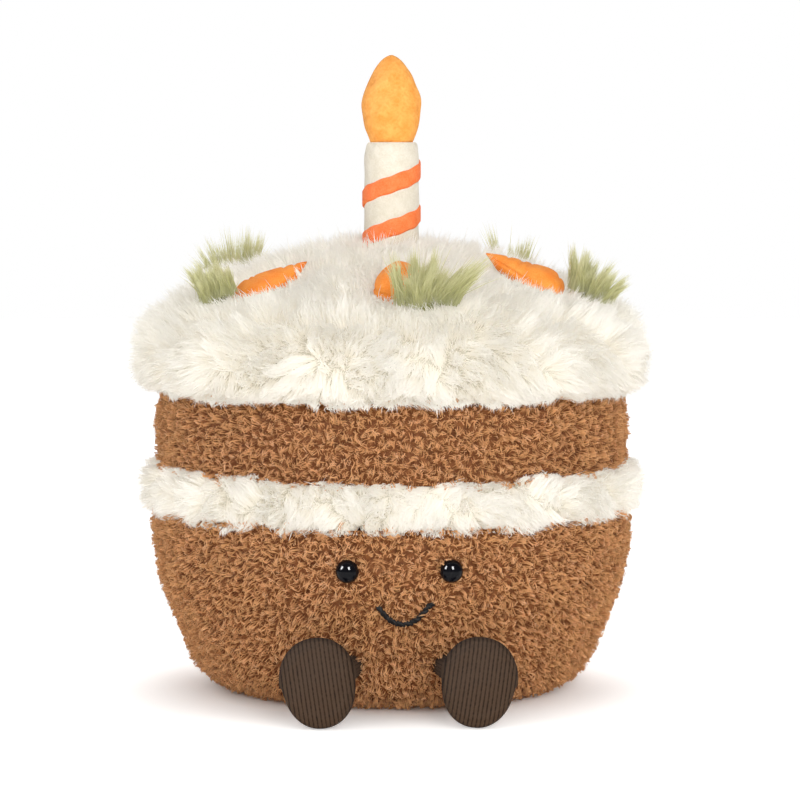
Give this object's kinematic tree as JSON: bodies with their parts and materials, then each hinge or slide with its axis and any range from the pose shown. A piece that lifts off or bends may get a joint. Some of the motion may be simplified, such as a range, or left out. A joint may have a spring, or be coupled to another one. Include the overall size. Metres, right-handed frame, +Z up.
{
  "type": "plush toy carrot cake",
  "caption": "Stuffed toy carrot cake: two sponge layers with a fur filling, domed fur icing with carrots round a candle, bead eyes, stitched smile and boots.",
  "frame": {"origin": "centre of the flat underside of the lower sponge, on the surface that the toy sits on", "axes": "+Z up through the candle, -Y towards the front with the face and boots, +X to the viewer's right"},
  "size_m": [0.2064, 0.2187, 0.2508],
  "materials": {
    "sponge": "brown curly teddy pile",
    "fur": "long cream plush fur in soft locks",
    "candle": "short cream plush, stuffed",
    "stripe": "short orange velour",
    "flame": "short golden velour",
    "carrot": "short orange velour, stuffed",
    "leaf": "long straight sage-green pile",
    "thread": "black embroidery yarn",
    "boot": "dark brown fine corduroy",
    "bead": "glossy black bead"
  },
  "bodies": {
    "root": {"sponge_lower": "sponge", "filling_fur": "fur", "sponge_upper": "sponge", "icing_fur": "fur", "candle": "candle", "candle_stripe_upper": "stripe", "candle_stripe_lower": "stripe", "flame": "flame", "carrot_1": "carrot", "carrot_2": "carrot", "carrot_3": "carrot", "carrot_4": "carrot", "carrot_5": "carrot", "carrot_top_1": "leaf", "carrot_top_2": "leaf", "carrot_top_3": "leaf", "carrot_top_4": "leaf", "carrot_top_5": "leaf", "eye_left": "bead", "eye_right": "bead", "smile": "thread", "boot_left": "boot", "boot_right": "boot"}
  },
  "joints": []
}
